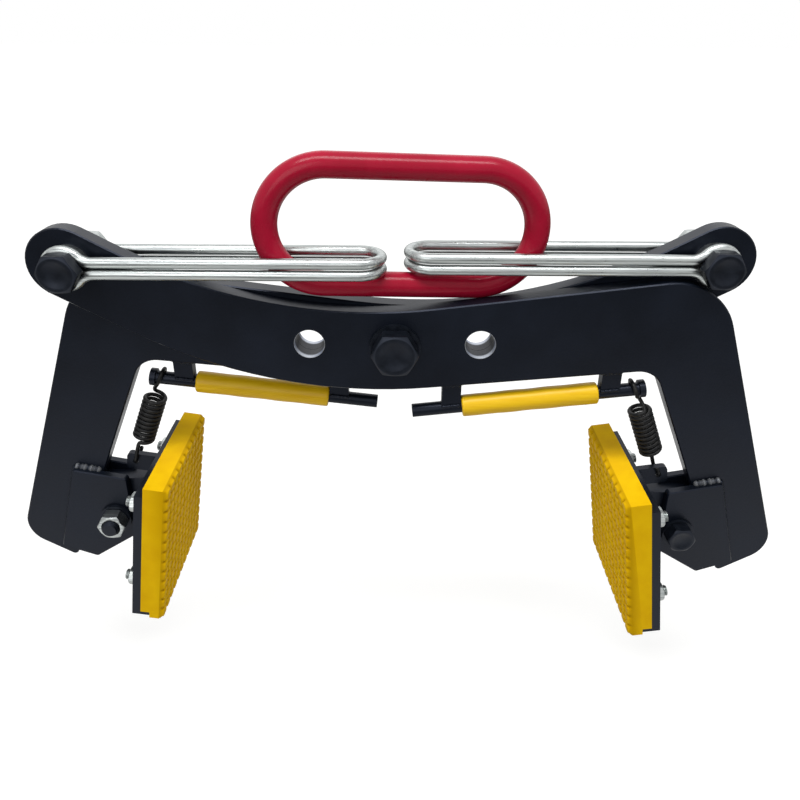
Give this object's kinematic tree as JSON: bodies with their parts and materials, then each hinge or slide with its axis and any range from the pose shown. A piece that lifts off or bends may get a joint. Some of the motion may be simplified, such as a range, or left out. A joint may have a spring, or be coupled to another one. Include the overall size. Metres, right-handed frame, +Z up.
{
  "type": "stone lifting clamp",
  "caption": "Scissor lifting clamp for kerb stones: crossed plate arms on a pivot bolt, folded rod links to a lifting ring, and sprung, hinged rubber jaw pads.",
  "frame": {"origin": "centre of the footprint on the floor the pads stand on, under the pivot bolt", "axes": "+X to the right of the picture along the jaw opening, +Y to the back along the pivot bolt, +Z up towards the lifting ring"},
  "size_m": [0.7306, 0.1464, 0.4354],
  "materials": {
    "black_paint": "satin black powder coat",
    "black_bolt": "black oxide",
    "zinc": "bright zinc plate",
    "red_paint": "glossy red paint",
    "yellow_rubber": "matte moulded rubber with a knobbed face",
    "yellow_grip": "smooth sleeve",
    "black_spring": "blackened spring wire"
  },
  "bodies": {
    "pivot": {"pivot_bolt": "black_bolt", "pivot_nut": "zinc", "pivot_washers": "black_bolt"},
    "front_arm": {"front_plate": "black_paint", "left_lug_bolt": "black_bolt", "left_lug_nut": "zinc", "left_lug_spacers": "zinc", "right_hinge_bolt": "black_bolt", "right_hinge_nut": "zinc", "right_hinge_washers": "black_bolt", "right_outer_bracket": "black_paint", "right_inner_bracket": "black_paint", "right_handle_bar": "black_paint", "right_handle_hangers": "black_paint", "right_handle_grip": "yellow_grip", "right_pad_spring": "black_spring"},
    "rear_arm": {"rear_plate": "black_paint", "right_lug_bolt": "black_bolt", "right_lug_nut": "zinc", "right_lug_spacers": "zinc", "left_hinge_bolt": "black_bolt", "left_hinge_nut": "zinc", "left_hinge_washers": "black_bolt", "left_outer_bracket": "black_paint", "left_inner_bracket": "black_paint", "left_handle_bar": "black_paint", "left_handle_hangers": "black_paint", "left_handle_grip": "yellow_grip", "left_pad_spring": "black_spring"},
    "ring": {"lifting_ring": "red_paint"},
    "left_link": {"left_link": "zinc"},
    "right_link": {"right_link": "zinc"},
    "left_pad": {"left_backing_plate": "black_paint", "left_hinge_lug": "black_paint", "left_spring_tab": "black_paint", "left_rubber_pad": "yellow_rubber", "left_pad_studs": "zinc", "left_pad_nuts": "zinc"},
    "right_pad": {"right_backing_plate": "black_paint", "right_hinge_lug": "black_paint", "right_spring_tab": "black_paint", "right_rubber_pad": "yellow_rubber", "right_pad_studs": "zinc", "right_pad_nuts": "zinc"}
  },
  "joints": [
    {"name": "jaw_close", "type": "hinge", "parent": "pivot", "child": "front_arm", "pos_m": [0, 0, 0.27171], "axis": [0, 1, 0], "range_deg": [0, 36]},
    {"name": "rear_arm_close", "type": "hinge", "parent": "pivot", "child": "rear_arm", "pos_m": [0, 0, 0.27171], "axis": [0, -1, 0], "range_deg": [0, 36]},
    {"name": "left_link_swing", "type": "hinge", "parent": "front_arm", "child": "left_link", "pos_m": [-0.2645, -0.0082, 0.34491], "axis": [0, -1, 0], "range_deg": [0, 104.4]},
    {"name": "right_link_swing", "type": "hinge", "parent": "rear_arm", "child": "right_link", "pos_m": [0.2645, 0.0082, 0.34491], "axis": [0, 1, 0], "range_deg": [0, 104.4]},
    {"name": "ring_lift", "type": "slide", "parent": "pivot", "child": "ring", "axis": [0, 0, 1], "range_m": [0, 0.364]},
    {"name": "left_pad_tilt", "type": "hinge", "parent": "rear_arm", "child": "left_pad", "pos_m": [-0.271, 0.0082, 0.08171], "axis": [0, 1, 0], "range_deg": [0, 30], "stiffness_Nm_per_rad": 3, "springref_deg": -22.92, "deforming": ["left_pad_spring"]},
    {"name": "right_pad_tilt", "type": "hinge", "parent": "front_arm", "child": "right_pad", "pos_m": [0.271, -0.0082, 0.08171], "axis": [0, -1, 0], "range_deg": [0, 30], "stiffness_Nm_per_rad": 3, "springref_deg": -22.92, "deforming": ["right_pad_spring"]}
  ],
  "couplings": [
    {"joint": "rear_arm_close", "follows": "jaw_close", "ratio": 1},
    {"joint": "left_link_swing", "follows": "jaw_close", "ratio": 2.9},
    {"joint": "right_link_swing", "follows": "jaw_close", "ratio": 2.9},
    {"joint": "ring_lift", "follows": "jaw_close", "m_per_rad": 0.57932}
  ]
}
